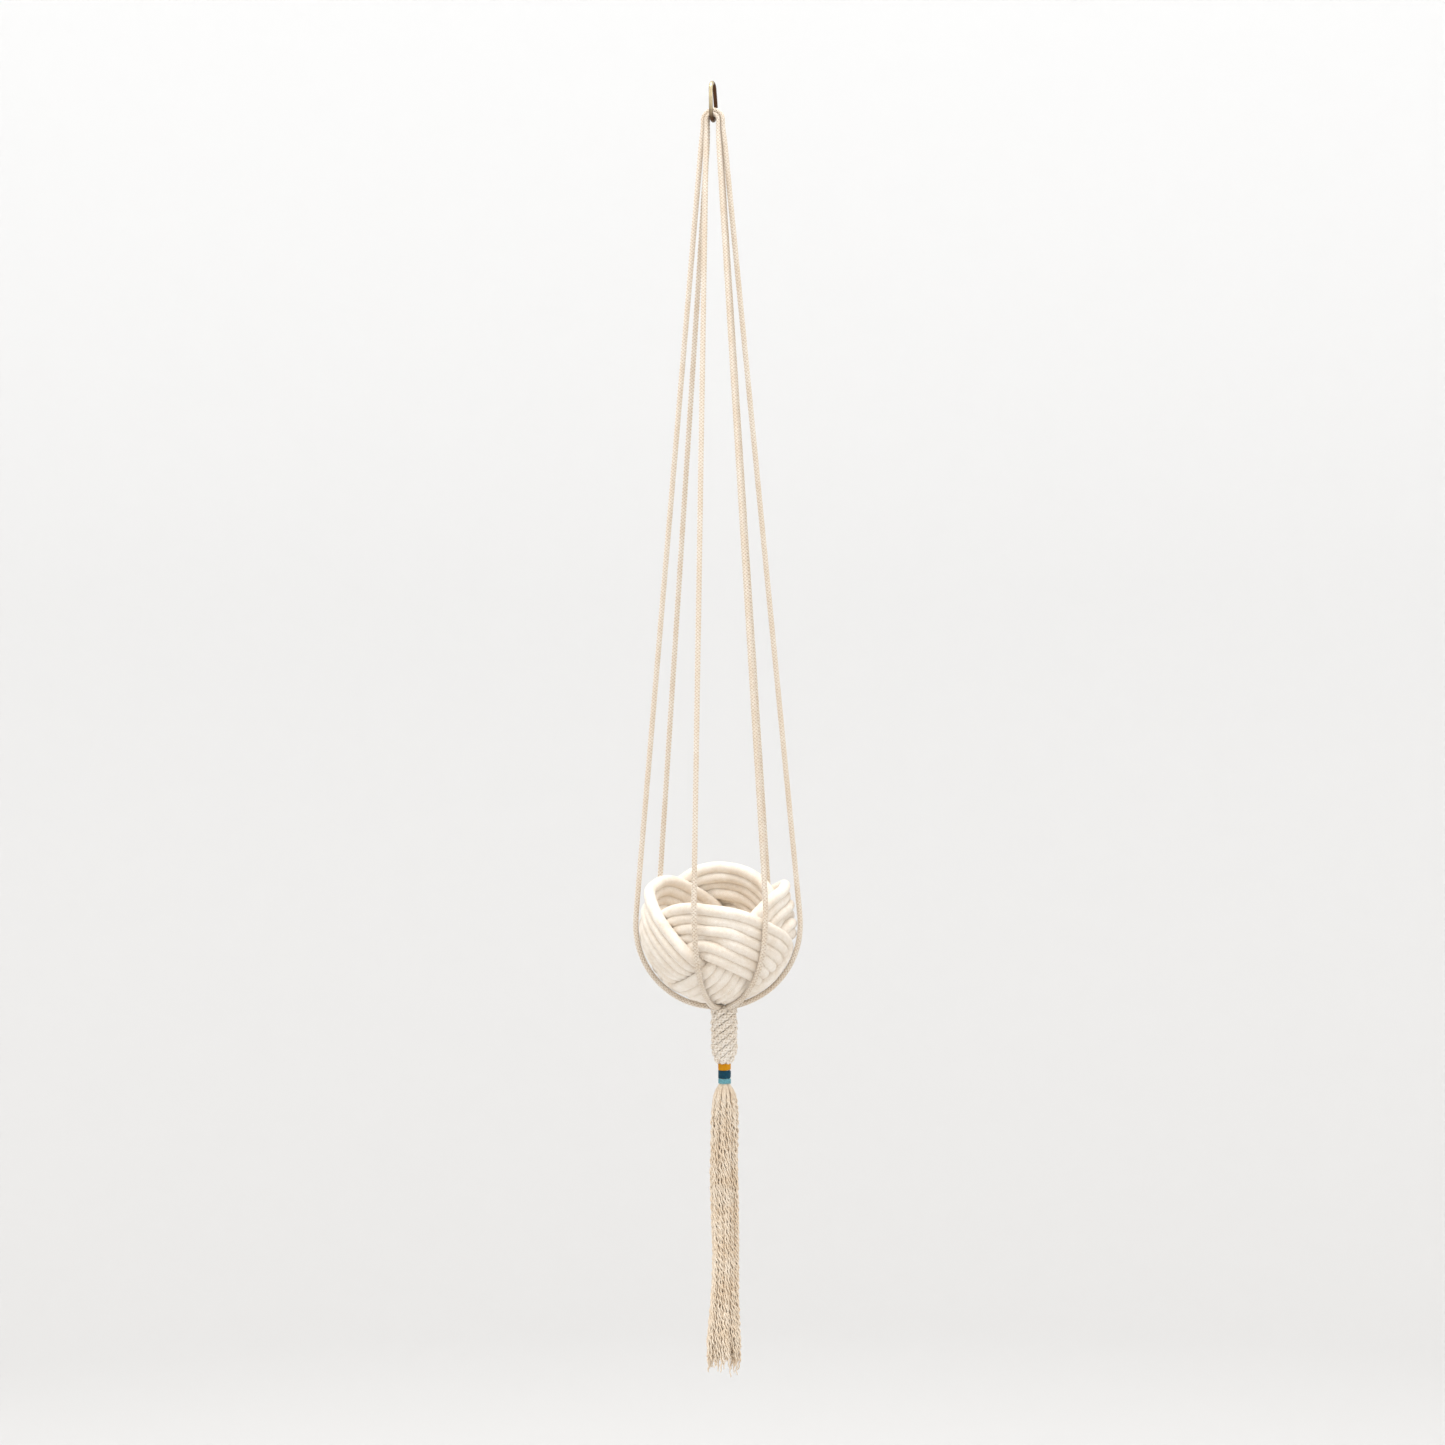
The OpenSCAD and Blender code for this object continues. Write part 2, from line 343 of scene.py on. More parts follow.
def over_the_wire(radius, back):
    """The fold over the hook's lower loop, from the left side to the right."""
    turns = np.linspace(math.pi, 0, 25)
    arc = [(radius * math.cos(t), WIRE_Z + radius * math.sin(t)) for t in turns]
    fold = [(-radius, FOLD_FOOT_Z), *arc, (radius, FOLD_FOOT_Z)]
    return np.array([[*hook_turned(x, back), z] for x, z in fold])


EASED_BELOW_Z = -0.045
EASING_ROUNDS = 140


def eased(points):
    """Rounds off the corners of a taut cord below the fold."""
    give = np.clip((EASED_BELOW_Z - points[:, 2]) / 0.004, 0, 1)[:, None] * 0.5
    give[:3] = 0
    give[-3:] = 0
    for _ in range(EASING_ROUNDS):
        middle = (np.roll(points, 1, 0) + np.roll(points, -1, 0)) / 2
        points = points + (middle - points) * give
    return points


# Each leg has its place round the crown, the direction in which it crosses the rim, in
# degrees, and its corner of the fork. Each fold has a radius and a distance behind the
# middle of the wire.
cord_plans = {
    "braided_cord_front": (
        ((4, 254, (-1, -1)), (5, 304, (1, -1))),
        (INNER_FORK, INNER_FOLD_R, -FOLD_APART),
    ),
    "braided_cord_back": (
        ((2, 138, (-1, 1)), (1, 50, (1, 1))),
        (INNER_FORK, INNER_FOLD_R, FOLD_APART),
    ),
    "braided_cord_side": (
        ((3, 182, (-1, 1)), (0, -3, (1, 1))),
        (OUTER_FORK, OUTER_FOLD_R, 0.0),
    ),
}
cord_lines = {}
for name, (legs, (fork, radius, back)) in cord_plans.items():
    sides = []
    for number, degrees, sign in legs:
        sides.append(leg_line(number, degrees, (fork[0] * sign[0], fork[1] * sign[1])))
    whole = np.vstack([sides[0][::-1], over_the_wire(radius, back), sides[1]])
    cord_lines[name] = spaced(eased(spaced(whole, 0.001)[0]), LAY / 16)
    print(name, round(cord_lines[name][1], 3), "m")


# %% Braid a cord
STRAND_OUT = 0.00178
STRAND_SWING = 0.0006
STRAND_WIDE = 0.00102
STRAND_THICK = 0.00088
STRAND_SIDES = 6
FILLER_R = 0.0018
SQUASH = 0.18
SQUASH_FROM_Z = -0.075
SQUASH_OVER = 0.03


def braided(points, scale):
    """Eight woven strands and a core round a line. Returns the strands and the core."""
    scale = np.broadcast_to(np.asarray(scale, float), (len(points),))[:, None]
    side, other = side_vectors(points)[1:]
    along = np.arange(len(points)) * np.linalg.norm(points[1] - points[0])
    swing = np.cos(8 * math.pi * along / LAY)
    strands = []
    for hand in (1, -1):
        for i in range(4):
            turn = math.pi / 2 * i + hand * 2 * math.pi * along / LAY
            out = side * np.cos(turn)[:, None] + other * np.sin(turn)[:, None]
            reach = (STRAND_OUT + hand * STRAND_SWING * swing)[:, None] * scale
            middle = points + out * reach
            ahead = directions(middle)
            out = unit(out - ahead * (out * ahead).sum(1, keepdims=True))
            wide = np.cross(out, ahead) * scale * STRAND_WIDE
            strands.append(rings(middle, wide, out * scale * STRAND_THICK, STRAND_SIDES))
    core = round_tube(points[::4], scale[::4, 0] * FILLER_R, STRAND_SIDES)
    return strands, core


cords = {}
for name, (points, length) in cord_lines.items():
    squashed = 1 - SQUASH * np.clip((points[:, 2] - SQUASH_FROM_Z) / SQUASH_OVER, 0, 1) ** 2
    strands, core = braided(points, squashed)
    cords[name] = skin(name, [closed_ends(t) for t in strands + [core]])
    print(name, len(cords[name].data.polygons), "faces")

# %% [markdown]
# ## The hook
#
# The hook is one length of 4.2 mm brass wire, bent round a mandrel into an upper and
# a lower loop with a straight shank between them at the front, and with its ends
# filed round. Sweeping a ring along the bend line, and shrinking the last rings,
# gives that shape directly. Seen from the front it stands nearly edge on.

# %% Bend the hook
WIRE_R = 0.0021
LOOP_R = 0.008
LOWER_R = 0.00796
FLARE = 15
TIP_L = 0.018


def arc(centre, radius, start, end, count):
    turns = np.radians(np.linspace(start, end, count))
    return [(centre[0] + radius * math.cos(t), centre[1] + radius * math.sin(t)) for t in turns]


upper = (0.0, WIRE_R - LOOP_R)
lower = (0.0, WIRE_Z + LOWER_R)
flare = math.radians(FLARE)
tip_from = (upper[0] + LOOP_R * math.cos(flare), upper[1] + LOOP_R * math.sin(flare))
tip = (tip_from[0] + TIP_L * math.sin(flare), tip_from[1] - TIP_L * math.cos(flare))
hook_plan = [tip, *arc(upper, LOOP_R, FLARE, 180, 34), *arc(lower, LOWER_R, 180, 400, 50)]
hook_line, hook_length = spaced([[*hook_turned(0, b), z] for b, z in hook_plan], 0.0005)
hook_tube = round_tube(hook_line, WIRE_R, 24)
hook_wire = skin("hook_wire", [closed_ends(hook_tube, 0.9, 6)])
print("hook wire", round(hook_length * 1000), "mm long")

# %% [markdown]
# ## The knotted bowl
#
# The bowl is a Turk's head: a band of rope that crosses itself in a regular star,
# over one and under one, followed round until six plies lie side by side. Here three
# leads and four bights close into a bowl, open at the top. The bights make the
# scallops of the rim.
#
# Drawing such a knot with formulas alone leaves gaps and overlaps, since plies that
# fan out on a ball can't stay one rope apart. So the formula only gives the start.
# Then the rope is settled as a real one would be: where two lengths are closer than
# one rope they push apart, the rope resists sharp bends, keeps its length, and stays
# within two layers on a bowl-shaped form.

# %% Sizes of the knot
# The knot is laid and settled in millimetres, with the bowl's centre at zero.
PITCH = 11.0
LIFT = 5.6
FORM_R = 72.3
RIM_RADIUS = 69.0
RIM_HEIGHT = 41.0
PLIES = 6
LEADS = 3
BIGHTS = 4
FIRST_BIGHT = math.radians(-10)


def form_radius(z):
    return FORM_R + (RIM_RADIUS - FORM_R) * np.clip(z / RIM_HEIGHT, 0, 1.2)


def on_form(p):
    """Nearest points of the form, which is a ball with a short neck, and its outward normals."""
    n = unit(np.where((p[:, 2] < 0)[:, None], p, p * [1, 1, 0]))
    neck = n * form_radius(p[:, 2])[:, None] + p * [0, 0, 1]
    return np.where((p[:, 2] < 0)[:, None], n * FORM_R, neck), n


print("rope", round(2000 * ROPE_R, 1), "mm on a form", FORM_R * 2, "mm across")


# %% Lay the rope on the form
def band_middle(t):
    top = FORM_R * math.pi / 2 + RIM_HEIGHT - (PLIES - 1) / 2 * PITCH
    low = 8 + (PLIES - 1) / 2 * PITCH
    phase = BIGHTS / LEADS * (t - FIRST_BIGHT)
    s = (top + low) / 2 + (top - low) / 2 * np.cos(phase)
    quarter = FORM_R * math.pi / 2
    a = np.minimum(s, quarter) / FORM_R
    z = np.where(s < quarter, -FORM_R * np.cos(a), s - quarter)
    r = np.where(s < quarter, FORM_R * np.sin(a), form_radius(z))
    return np.stack([r * np.cos(t), r * np.sin(t), z], 1), phase


def laid_ply(ply):
    """One ply beside the band's middle line, above or below the plies it crosses."""
    t = np.linspace(0, LEADS * 2 * math.pi, 420, endpoint=False)
    p, phase = band_middle(t)
    ahead = band_middle(t + 1e-3)[0] - p
    p, n = on_form(p)
    way = unit(np.cross(n, ahead))
    stride = (ply - (PLIES - 1) / 2) * PITCH / 12
    for _ in range(12):
        way = unit(way - n * (way * n).sum(1, keepdims=True))
        p, n = on_form(p + way * stride)
    lift = np.tanh(2.2 * np.sin(2 * phase)) / math.tanh(2.2) * LIFT
    return p + n * lift[:, None]


plies = [laid_ply(ply) for ply in range(PLIES)]
print("laid", sum(len(p) for p in plies), "points")


# %% Settle the rope
def close_pairs(x, ply, place, count, step):
    """Pairs of points nearly one rope apart that aren't next to each other along the rope."""
    square = (x**2).sum(1)
    i, j = np.where(square[:, None] + square[None] - 2 * x @ x.T < (PITCH * 1.35) ** 2)
    i, j = i[i < j], j[i < j]
    gap = np.abs(place[i] - place[j])
    gap = np.minimum(gap, count[i] - gap)
    apart = (ply[i] != ply[j]) | (gap * step > PITCH * 1.9)
    return i[apart], j[apart]


def settle(plies, step=4.2, rounds=260):
    parts = [spaced(p, step, closed=True)[0] for p in plies]
    sizes = np.array([len(p) for p in parts])
    first = np.r_[0, np.cumsum(sizes)[:-1]]
    ply = np.repeat(np.arange(len(parts)), sizes)
    x = np.vstack(parts)
    spot = np.arange(len(x))
    place = spot - first[ply]
    count = sizes[ply]
    after = first[ply] + (place + 1) % count
    before = first[ply] + (place - 1) % count
    for turn in range(rounds):
        if turn % 6 == 0:
            i, j = close_pairs(x, ply, place, count, step)
        # Lengths that are too close push apart, and those that lie side by side draw in.
        d = x[j] - x[i]
        far = np.linalg.norm(d, axis=1)
        way = unit(x[after] - x[before])
        along = np.abs((way[i] * way[j]).sum(1))
        push = np.where(far < PITCH, (PITCH - far) * 0.5, 0)
        beside = (far > PITCH) & (far < PITCH * 1.3) & (along > 0.9)
        shift = d * ((push - np.where(beside, (far - PITCH) * 0.05, 0)) / far)[:, None]
        move = np.zeros_like(x)
        share = np.ones(len(x))
        np.add.at(move, i, -shift)
        np.add.at(move, j, shift)
        np.add.at(share, i[push > 0], 0.5)
        np.add.at(share, j[push > 0], 0.5)
        x = x + move / share[:, None] * 0.9
        # The rope resists a bend that is sharper than the ones beside it.
        bow = (x[after] + x[before]) / 2 - x
        x = x + (bow - (bow[after] + bow[before]) / 2) * 0.5
        # It keeps its length, every second stretch at a time.
        for half in (0, 1):
            a = spot[place % 2 == half]
            run = x[after[a]] - x[a]
            size = np.linalg.norm(run, axis=1)
            pull = run * ((size - step) / size * 0.25)[:, None]
            x[a] += pull
            x[after[a]] -= pull
        # It stays within two layers on the form, and near the rim.
        q, n = on_form(x)
        out = ((x - q) * n).sum(1)
        x = x + n * ((np.clip(out, -LIFT, LIFT) - out) * 0.6)[:, None]
        over = np.maximum(x[:, 2] - RIM_HEIGHT, 0)
        x[:, 2] = np.where(over > 0, RIM_HEIGHT + over * 0.3, x[:, 2])
    return [x[ply == k] for k in range(len(parts))]


settled = settle(plies)
rope_points = np.vstack(settled)
print("rope in the bowl", round(sum(spaced(p, 4, True)[1] for p in settled) / 1000, 2), "m")
print("height above the belly", round(rope_points[:, 2].max(), 1), "mm")


# %% Skin the rope and lean the bowl
def wavy(points, rounds):
    """A closed line made finer and smoother."""
    for _ in range(rounds):
        a, b = points, np.roll(points, -1, 0)
        points = np.stack([a * 0.75 + b * 0.25, a * 0.25 + b * 0.75], 1).reshape(-1, 3)
    return points


lean_back = np.array(Matrix.Rotation(BOWL_TILT, 3, "X"))
rope_tubes = []
for points in settled:
    fine = spaced(wavy(points, 2), 2.1, closed=True)[0]
    placed = fine / 1000 @ lean_back.T + BOWL
    rope_tubes.append(round_tube(placed, ROPE_R, 20, closed=True))
rope_bowl = skin("knotted_rope_bowl", rope_tubes, closed=True)
leg_points = np.vstack([p[::8] for p, _ in cord_lines.values()])
rope_line = np.vstack([t.mean(1) for t in rope_tubes])
nearest = min(np.linalg.norm(rope_line - p, axis=1).min() for p in leg_points if p[2] < -0.8)
print("rope faces", len(rope_bowl.data.polygons), "nearest leg", round(nearest * 1000, 2), "mm")

# %% [markdown]
# ## The crown sinnet
#
# Under the bowl the six legs are crowned: each is laid over the next and tucked
# under the one after, round after round. From outside, every round shows six plump
# bumps that rise to the right, and each strand dives in where the next one lies on
# it. A strand's line is therefore a slow spiral whose distance from the middle
# swings out and in once a round.
#
# The knot hangs from the legs and swings under them. Its first round, between the sling and the
# tail, is made as a piece of its own. Below the last round the six cords draw together and go down
# inside the coloured bands.

# %% Sizes of the sinnet
ROUND_H = 0.0063
ROUNDS = 9
ROUND_TURN = math.radians(43.5)
OVER_R = 0.0114
UNDER_R = 0.0086
FIRST_BUMP_Z = -0.9818
NECK_Z = -1.0372


def sinnet_radius(t):
    """A strand's distance from the middle: out at each whole round and in between them."""
    taper = np.interp(t, [7.5, 9.0], [1.0, 0.74])
    swing = (OVER_R - UNDER_R) / 2 * np.cos(2 * math.pi * t)
    return ((OVER_R + UNDER_R) / 2 + swing) * taper


def sinnet_line(k):
    start = math.radians(60 * k)
    t = np.linspace(0.42, ROUNDS + 0.25, 165)
    turn = start - ROUND_TURN * (t + 0.25 * np.sin(2 * math.pi * t) / (2 * math.pi))
    z = FIRST_BUMP_Z - ROUND_H * (t - 1)
    r = sinnet_radius(t)
    body = [upright(a, b, c, (TAIL_X, 0)) for a, b, c in zip(turn, r, z)]
    head = [
        upright(start, CROWN_R, LEG_END_Z, (TAIL_X, 0)),
        upright(start - 0.14, 0.0077, LEG_END_Z, (TAIL_X, 0)),
    ]
    low = turn[-1]
    foot = [
        upright(low - 0.10, 0.0050, NECK_Z + 0.0012, (TAIL_X, 0)),
        upright(low - 0.14, 0.0042, NECK_Z - 0.002, (TAIL_X, 0)),
        upright(low - 0.16, 0.0038, NECK_Z - 0.007, (TAIL_X, 0)),
        upright(low - 0.16, 0.0037, NECK_Z - 0.020, (TAIL_X, 0)),
    ]
    return smooth_line(head + body + foot, LAY / 16)


strand_lines = [sinnet_line(k) for k in range(6)]
print("a strand of the sinnet", round(spaced(strand_lines[0], 0.001)[1] * 1000), "mm")

# %% Work the sinnet
CUT_Z = -0.9890
SLIM, PLUMP = 0.58, 1.22
head_tubes, body_tubes = [], []
for points in strand_lines:
    plump = np.interp(points[:, 2], [NECK_Z - 0.003, NECK_Z + 0.004], [SLIM, PLUMP])
    cut = int(np.argmax(points[:, 2] < CUT_Z))
    strands, core = braided(points, plump)
    head_tubes += [t[: cut + 1] for t in strands] + [core[: cut // 4 + 1]]
    body_tubes += [t[cut:] for t in strands] + [core[cut // 4 :]]
crown_round = skin("crown_first_round", [closed_ends(t, 0.3) for t in head_tubes])
sinnet = skin("crown_sinnet_strands", [closed_ends(t, 0.3) for t in body_tubes])
print("sinnet", len(crown_round.data.polygons), "+", len(sinnet.data.polygons), "faces")

# %% [markdown]
# ## The coloured bands
#
# Three bands of yarn bind the gathered ends: mustard, teal and sky blue. Each is a
# fine twisted yarn wound turn against turn. A wound yarn is a helix whose pitch is
# a little less than the yarn's thickness, so that neighbouring turns press into each
# other. Small, slow changes of radius keep the winding from looking machined.

# %% Wind the bands
WRAP_R = 0.0068
WRAP_YARN_R = 0.00052
WRAP_PITCH = WRAP_YARN_R * 1.86
CORE_R = 0.0058
chance = np.random.default_rng(7)


def wound_band(name, top, height, flare):
    turns = height / WRAP_PITCH
    t = np.linspace(0, turns, int(turns * 48))
    spots = np.arange(0, turns + 2, 0.37)
    slow = np.interp(t, spots, chance.normal(0, 0.00005, 400)[: len(spots)])
    rise = np.linspace(-WRAP_YARN_R * 0.9, -(height - WRAP_YARN_R * 0.9), len(t))
    radius = WRAP_R - WRAP_YARN_R + slow + flare * np.clip(1 + rise / 0.003, 0, 1) ** 2
    radius = np.where(t < 0.15, radius - (0.15 - t) * 0.004, radius)
    radius = np.where(t > turns - 0.15, radius - (t - turns + 0.15) * 0.004, radius)
    angle = t * 2 * math.pi + 1.1
    line = [upright(a, r, top + z, (TAIL_X, 0)) for a, r, z in zip(angle, radius, rise)]
    yarn = closed_ends(round_tube(np.array(line), WRAP_YARN_R, 10))
    under_z = np.linspace(top - 0.0003, top - height + 0.0003, 12)
    middle = np.array([[TAIL_X, 0, z] for z in under_z])
    under = closed_ends(round_tube(middle, CORE_R + 0.0002, 10), 0.02, 2)
    return skin(name, [yarn, under])


MUSTARD_H, TEAL_H, SKY_H = 0.0074, 0.0085, 0.0058
mustard_band = wound_band("mustard_band", NECK_Z, MUSTARD_H, 0.0003)
teal_band = wound_band("teal_band", NECK_Z - MUSTARD_H, TEAL_H, 0.0)
sky_band = wound_band("sky_band", NECK_Z - MUSTARD_H - TEAL_H, SKY_H, 0.0)
print("bands end at", round(NECK_Z - MUSTARD_H - TEAL_H - SKY_H, 4))

# %% [markdown]
# ## The tassel
#
# Below the bands the braids are picked apart. What hangs there is crimped yarn: every
# yarn keeps the small waves it had in the braid, and the yarns of one strand still
# cling together in locks that wind slowly round each other. Hair systems would make
# thousands of threads, but the waves and the locks are what the eye reads, so each
# yarn is a thin tube whose line adds up four things: the bundle, the lock, the
# lock's own twist and the crimp.
#
# The yarns are kept in six bundles, one for each leg.

# %% Sizes of the tassel
TASSEL_TOP = -1.0572
TASSEL_TIP = -1.352
YARN_R = 0.00096
YARN_STEP = 0.00112
PROFILE_Z = [-1.056, -1.0605, -1.065, -1.072, -1.085, -1.11, -1.16, -1.247, -1.29, -1.33, -1.37]
PROFILE_R = [0.005, 0.0072, 0.0104, 0.0130, 0.0140, 0.0144, 0.0148, 0.0139, 0.0152, 0.0182, 0.0188]
DRIFT_Z = [-1.06, -1.15, -1.247, -1.30, -1.36]
DRIFT_X = [0.0, -0.0012, -0.0006, -0.0022, -0.0048]
BUNDLE_TURN = -20
LOCK_APART = math.radians(15.5)
LOCK_TWIST = 0.046
yarn_chance = np.random.default_rng(23)


def tassel_yarn(k, lock, turn_in_lock, depth, length, seed):
    """One crimped yarn of a bundle."""
    n = int(length / YARN_STEP)
    s = np.linspace(0, length, n)
    z = TASSEL_TOP - s
    loose = np.clip(s / 0.03, 0, 1)
    r0, r1, r2, r3, r4, r5 = seed
    centre = math.radians(60 * k + BUNDLE_TURN) + lock * LOCK_APART
    centre = centre + 0.13 * loose * np.sin(s / 0.06 + r0 * 6.3 + lock)
    wide = np.interp(z, PROFILE_Z[::-1], PROFILE_R[::-1]) - 0.0008
    base = (wide - 0.0004) * (depth + 0.06 * loose * np.sin(s / 0.045 + r1 * 6.3))
    twist = turn_in_lock + s / LOCK_TWIST * 2 * math.pi + 0.7 * np.sin(s / 0.03 + r2)
    room = (0.0017 + 0.0005 * r4) * loose
    x = base * np.cos(centre) + room * np.cos(twist) * np.cos(centre)
    y = base * np.sin(centre) + room * np.cos(twist) * np.sin(centre)
    x = x - room * np.sin(twist) * np.sin(centre)
    y = y + room * np.sin(twist) * np.cos(centre)
    wave = 0.0078 + 0.0022 * r3
    crimp = 0.00046 + 0.0002 * r4
    phase = s / wave * 2 * math.pi + 1.2 * np.sin(s / 0.024 + r5 * 6.3) + 6.3 * r1 + 2 * r2
    free = np.clip((s - 0.006) / 0.02, 0, 1)
    x = x + crimp * free * np.cos(phase)
    y = y + crimp * free * np.sin(phase)
    reach = np.hypot(x, y)
    keep = np.minimum(1, (wide + 0.0012) / np.maximum(reach, 1e-6))
    drift = np.interp(z, DRIFT_Z[::-1], DRIFT_X[::-1])
    return np.stack([x * keep + TAIL_X + drift, y * keep, z], 1)


print("tassel", round((TASSEL_TOP - TASSEL_TIP) * 1000), "mm")

# %% Hang the tassel
# Each lock of a bundle: its place across the bundle, its depth and its count of yarns.
BUNDLE_PLAN = [
    (-1.27, 0.82, 4),
    (-0.44, 0.95, 4),
    (0.42, 0.92, 4),
    (1.25, 0.80, 4),
    (-0.80, 0.64, 4),
    (0.80, 0.62, 4),
    (0.0, 0.38, 4),
]
bundles = []
for k in range(6):
    tubes = []
    for lock, depth, count in BUNDLE_PLAN:
        for i in range(count):
            seed = yarn_chance.random(6)
            length = TASSEL_TOP - TASSEL_TIP + yarn_chance.normal(0, 0.007)
            length -= 0.012 * (depth < 0.5) + 0.004 * yarn_chance.random()
            lock_seed = [lock * 0.37 % 1, (k * 0.17 + lock * 0.61) % 1, seed[2]]
            lock_seed += [k * 0.29 % 1, seed[4], (lock * 0.23 + depth) % 1]
            points = tassel_yarn(k, lock, 2 * math.pi * i / count, depth, length, lock_seed)
            n = len(points)
            ends = np.interp(np.arange(n), [0, n - 12, n], [1, 1, 0.55])
            tubes.append(closed_ends(round_tube(points, YARN_R * ends, 5), 0.8, 1))
    bundles.append(skin(f"tassel_bundle_{k + 1}", tubes))
print("tassel faces", sum(len(b.data.polygons) for b in bundles))

# %% [markdown]
# ## Finishes: what cotton and brass need
#
# Cotton is matt, but not flat: fibres run along each strand and catch the light, the
# plies of a yarn make slanting ridges, and the natural cream drifts a little from
# place to place. Those effects serve several finishes, so each is a node group with
# its sizes as inputs. The groups read "thread" metres, so a 1 mm ridge stays 1 mm on
# a rope and on a yarn alike. A flat pattern laid over the piece would be quicker, but
# it can't follow a braid, and it repeats.

# %% Tools for finishes
def linear(red, green, blue):
    """A colour given in the usual 0 to 255 steps, as light."""
    parts = [c / 255 for c in (red, green, blue)]
    return [c / 12.92 if c <= 0.04045 else ((c + 0.055) / 1.055) ** 2.4 for c in parts] + [1.0]


def add(tree, kind, inputs=None, **settings):
    node = tree.nodes.new(kind)
    for key, value in settings.items():
        setattr(node, key, value)
    for key, value in (inputs or {}).items():
        if isinstance(value, bpy.types.NodeSocket):
            tree.links.new(value, node.inputs[key])
        else:
            node.inputs[key].default_value = value
    return node


def calc(tree, operation, a, b=0.0, c=0.0):
    node = add(tree, "ShaderNodeMath", {0: a, 1: b, 2: c}, operation=operation)
    return node.outputs[0]


def between(tree, mask, first, second):
    """The first colour where the mask is 0 and the second where it is 1."""
    inputs = {0: mask, 6: first, 7: second}
    return add(tree, "ShaderNodeMix", inputs, data_type="RGBA").outputs[2]


def new_group(name, inputs, outputs):
    tree = bpy.data.node_groups.new(name, "ShaderNodeTree")
    for label, kind, value in inputs:
        socket = tree.interface.new_socket(label, in_out="INPUT", socket_type=kind)
        if value is not None:
            socket.default_value = value
    for label, kind in outputs:
        tree.interface.new_socket(label, in_out="OUTPUT", socket_type=kind)
    return tree, tree.nodes.new("NodeGroupInput").outputs, tree.nodes.new("NodeGroupOutput").inputs


NUMBER, VECTOR, COLOUR = "NodeSocketFloat", "NodeSocketVector", "NodeSocketColor"
print("cream as light", [round(c, 3) for c in linear(240, 230, 214)])

# %% [markdown]
# ### Fibre grain
#
# Fibres are long and thin, so their grain is noise that is stretched along the thread.
# The turn round the thread goes in as a circle, through a sine and a cosine, so the
# grain has no seam where the layout closes.

# %% Group: fibre grain
grain, given, out = new_group(
    "fibre grain",
    [("Thread", VECTOR, None), ("Along", NUMBER, 260.0), ("Round", NUMBER, 2.2)],
    [("Height", NUMBER), ("Shade", NUMBER)],
)
xyz = add(grain, "ShaderNodeSeparateXYZ", {0: given["Thread"]})
turn = calc(grain, "MULTIPLY", xyz.outputs["Y"], 2 * math.pi)
place = add(
    grain,
    "ShaderNodeCombineXYZ",
    {
        "X": calc(grain, "MULTIPLY", xyz.outputs["X"], given["Along"]),
        "Y": calc(grain, "MULTIPLY", calc(grain, "COSINE", turn), given["Round"]),
        "Z": calc(grain, "MULTIPLY", calc(grain, "SINE", turn), given["Round"]),
    },
)
fine = add(
    grain,
    "ShaderNodeTexNoise",
    {"Vector": place.outputs[0], "Scale": 1.0, "Detail": 4.0, "Roughness": 0.65},
)
shade = add(
    grain,
    "ShaderNodeMapRange",
    {"Value": fine.outputs["Fac"], "From Min": 0.3, "From Max": 0.7},
)
grain.links.new(fine.outputs["Fac"], out["Height"])
grain.links.new(shade.outputs[0], out["Shade"])
print("built", grain.name)

# %% [markdown]
# ### Twisted plies
#
# Plies that wind round each other make ridges whose phase grows both along the thread
# and round it. With a short pitch this is a twisted yarn. With a long one it is the
# bunch of parallel yarns that makes one strand of a braid.

# %% Group: twisted plies
plied, given, out = new_group(
    "twisted plies",
    [("Thread", VECTOR, None), ("Pitch", NUMBER, 0.003), ("Plies", NUMBER, 2.0)],
    [("Height", NUMBER)],
)
xyz = add(plied, "ShaderNodeSeparateXYZ", {0: given["Thread"]})
wound = calc(plied, "DIVIDE", xyz.outputs["X"], given["Pitch"])
phase = calc(plied, "MULTIPLY", calc(plied, "ADD", wound, xyz.outputs["Y"]), given["Plies"])
ridge = calc(plied, "ABSOLUTE", calc(plied, "SINE", calc(plied, "MULTIPLY", phase, math.pi)))
plied.links.new(calc(plied, "POWER", ridge, 0.7), out["Height"])
print("built", plied.name)

# %% [markdown]
# ### Braided cover
#
# The bowl's rope wears a fine, smooth braided cover. Two families of slanting strands
# cross, and the parity of the cell says which family lies on top. That needs no
# geometry, since each strand is well under a millimetre high.

# %% Group: braided cover
cover, given, out = new_group(
    "braided cover",
    [("Thread", VECTOR, None), ("Pitch", NUMBER, 0.0024), ("Strands", NUMBER, 16.0)],
    [("Height", NUMBER), ("Gaps", NUMBER)],
)
xyz = add(cover, "ShaderNodeSeparateXYZ", {0: given["Thread"]})
run = calc(cover, "DIVIDE", xyz.outputs["X"], given["Pitch"])
round_it = calc(cover, "MULTIPLY", xyz.outputs["Y"], given["Strands"])
left_hand = calc(cover, "ADD", run, round_it)
right_hand = calc(cover, "SUBTRACT", run, round_it)
cells = calc(cover, "ADD", calc(cover, "FLOOR", left_hand), calc(cover, "FLOOR", right_hand))
parity = calc(cover, "ABSOLUTE", calc(cover, "MODULO", cells, 2.0))
left_arch = calc(cover, "ABSOLUTE", calc(cover, "SINE", calc(cover, "MULTIPLY", left_hand, math.pi)))
right_arch = calc(
    cover, "ABSOLUTE", calc(cover, "SINE", calc(cover, "MULTIPLY", right_hand, math.pi))
)
woven = add(
    cover,
    "ShaderNodeMix",
    {0: parity, 2: left_arch, 3: right_arch},
    data_type="FLOAT",
)
gaps = add(
    cover,
    "ShaderNodeMapRange",
    {"Value": woven.outputs[0], "From Min": 0.0, "From Max": 0.45, "To Min": 1.0, "To Max": 0.0},
)
cover.links.new(woven.outputs[0], out["Height"])
cover.links.new(gaps.outputs[0], out["Gaps"])
print("built", cover.name)

